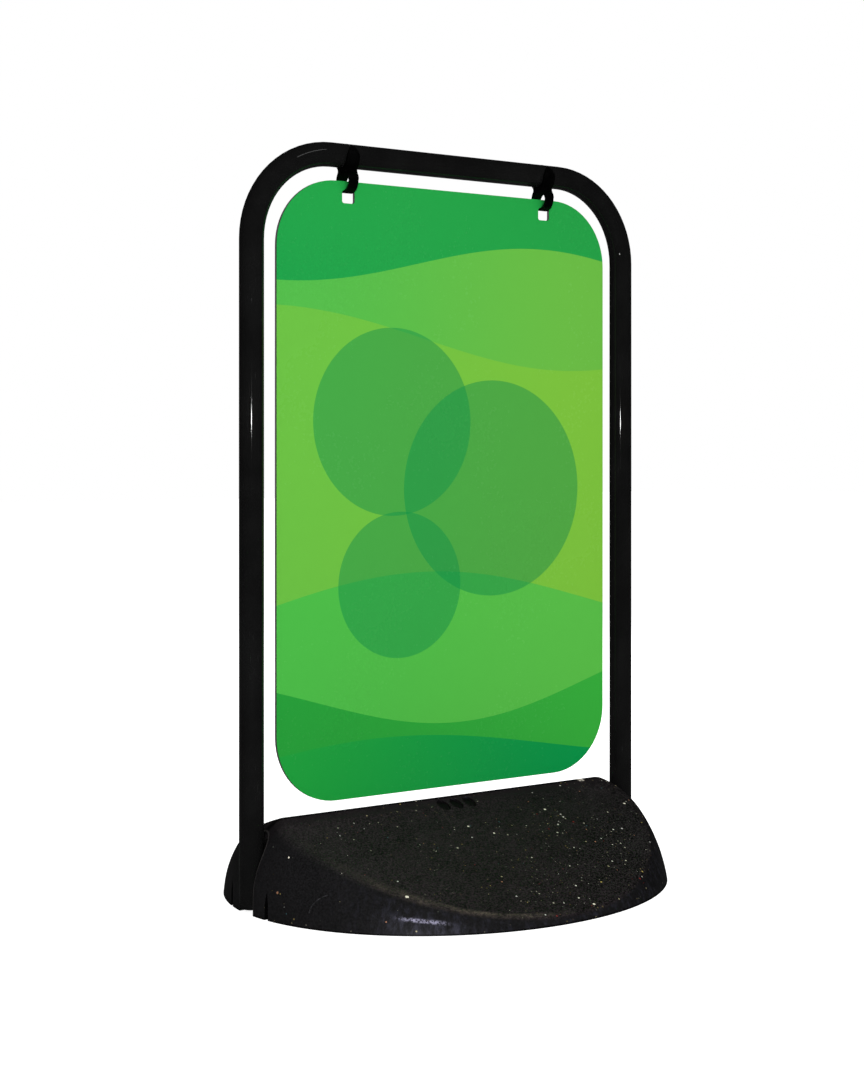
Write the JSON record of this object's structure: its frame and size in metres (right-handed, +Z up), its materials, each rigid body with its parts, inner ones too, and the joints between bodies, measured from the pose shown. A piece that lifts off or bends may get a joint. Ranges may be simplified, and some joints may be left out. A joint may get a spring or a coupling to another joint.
{
  "type": "swing sign",
  "caption": "Free-standing pavement sign: a flat rounded panel hangs by plastic hooks from a bent tube hoop whose legs stand in a heavy gable-topped oval base.",
  "frame": {"origin": "on the ground under the middle of the base", "axes": "+X along the base's ridge and the panel's width, +Y from the front face to the rear face, +Z up"},
  "size_m": [0.6044, 0.512, 0.9306],
  "materials": {
    "base_rubber": "speckled matt",
    "frame_powder_coat": "gloss",
    "cap_plastic": "satin",
    "zinc_steel": "zinc plated",
    "panel_core": "matt",
    "panel_skin": "mill",
    "print_film": "gloss",
    "hook_plastic": "satin"
  },
  "bodies": {
    "stand": {"base_moulding": "base_rubber", "frame_hoop": "frame_powder_coat", "leg_cap_left": "cap_plastic", "leg_cap_right": "cap_plastic", "bolt_washer_left": "zinc_steel", "bolt_washer_right": "zinc_steel", "frame_bolt_left": "zinc_steel", "frame_bolt_right": "zinc_steel", "thread_insert_left": "zinc_steel", "thread_insert_right": "zinc_steel"},
    "hook_left": {"hook_left": "hook_plastic"},
    "hook_right": {"hook_right": "hook_plastic"},
    "panel": {"panel_core": "panel_core", "panel_skin_front": "panel_skin", "panel_skin_rear": "panel_skin", "print_film_front": "print_film", "print_film_rear": "print_film"}
  },
  "joints": [
    {"name": "hook_left_swing", "type": "hinge", "parent": "stand", "child": "hook_left", "pos_m": [-0.1524, 0, 0.915], "axis": [1, 0, 0], "range_deg": [-90, 90]},
    {"name": "hook_right_swing", "type": "hinge", "parent": "stand", "child": "hook_right", "pos_m": [0.1524, 0, 0.915], "axis": [1, 0, 0], "range_deg": [-90, 90]},
    {"name": "panel_swing", "type": "hinge", "parent": "hook_left", "child": "panel", "pos_m": [-0.1524, 0, 0.8842], "axis": [1, 0, 0], "range_deg": [-90, 90]}
  ],
  "couplings": [
    {"joint": "hook_right_swing", "follows": "hook_left_swing", "ratio": 1}
  ]
}
